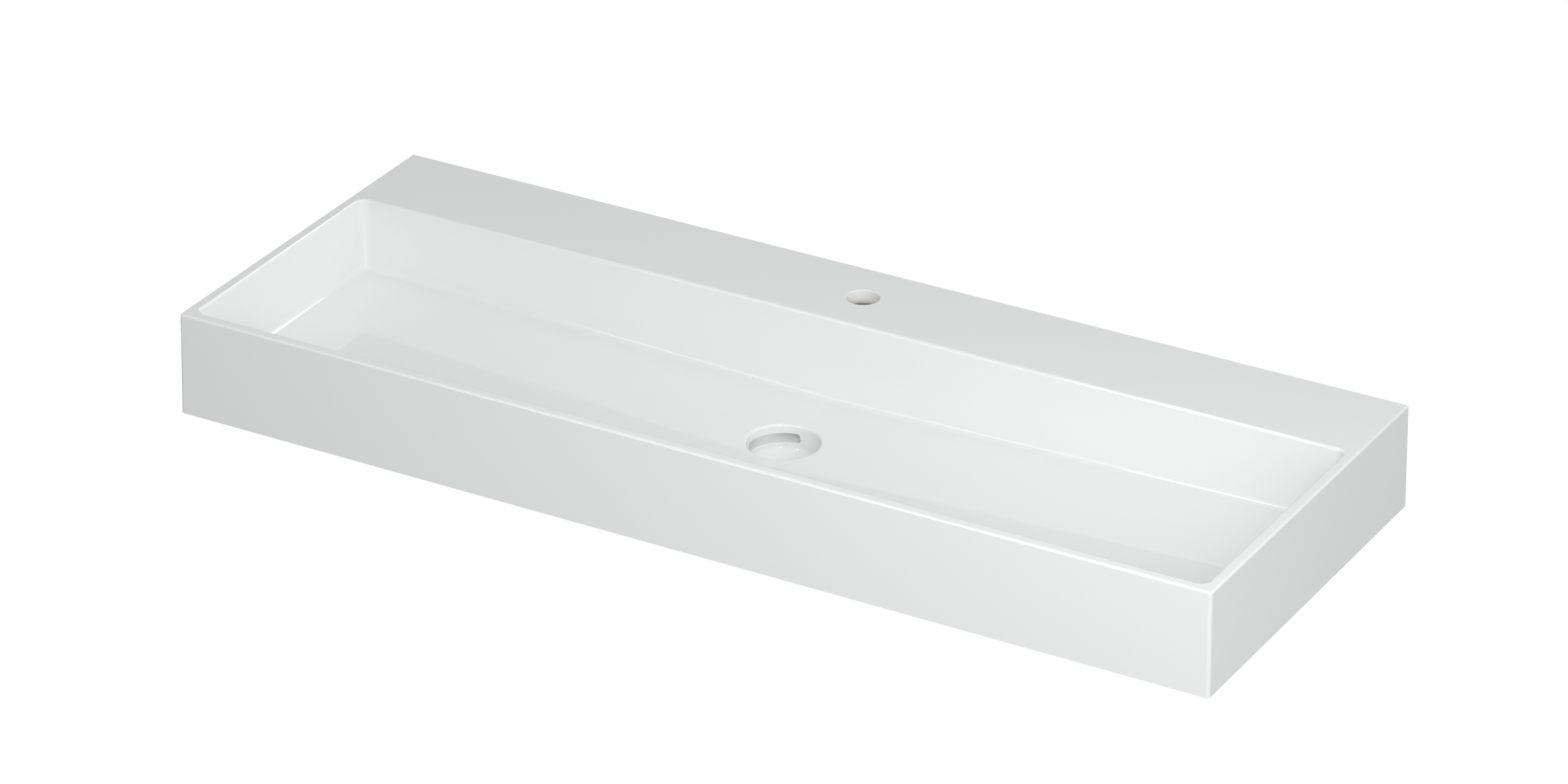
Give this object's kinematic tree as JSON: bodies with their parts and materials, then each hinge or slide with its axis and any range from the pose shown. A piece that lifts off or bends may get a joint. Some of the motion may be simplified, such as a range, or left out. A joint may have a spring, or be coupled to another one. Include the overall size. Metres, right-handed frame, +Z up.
{
  "type": "washbasin",
  "caption": "Wide rectangular washbasin in white glazed ceramic: thin rim, flat rear tap deck, shallow folded bowl floor, round drain well and a concealed overflow duct.",
  "frame": {"origin": "under the middle of the 1200 x 450 mm footprint, level with the foot of the outlet neck, 45 mm below the base plane of the outer walls", "axes": "+X along the wall to the right seen from the front, +Y towards the wall, +Z up"},
  "size_m": [1.2, 0.45, 0.16],
  "materials": {
    "white_glaze": "gloss",
    "raw_body": "matte"
  },
  "bodies": {
    "root": {"basin_shell": "white_glaze", "drain_well": "white_glaze", "outlet_neck": "raw_body", "overflow_passage": "white_glaze", "return_passage": "raw_body", "overflow_box": "raw_body", "weir_plate": "raw_body", "rear_wall": "raw_body", "tap_pad": "raw_body", "fixing_boss_left_outer": "raw_body", "fixing_boss_left_inner": "raw_body", "fixing_boss_right_inner": "raw_body", "fixing_boss_right_outer": "raw_body", "deck_web_left_outer": "raw_body", "deck_web_left_inner": "raw_body", "deck_web_right_inner": "raw_body", "deck_web_right_outer": "raw_body"}
  },
  "joints": []
}
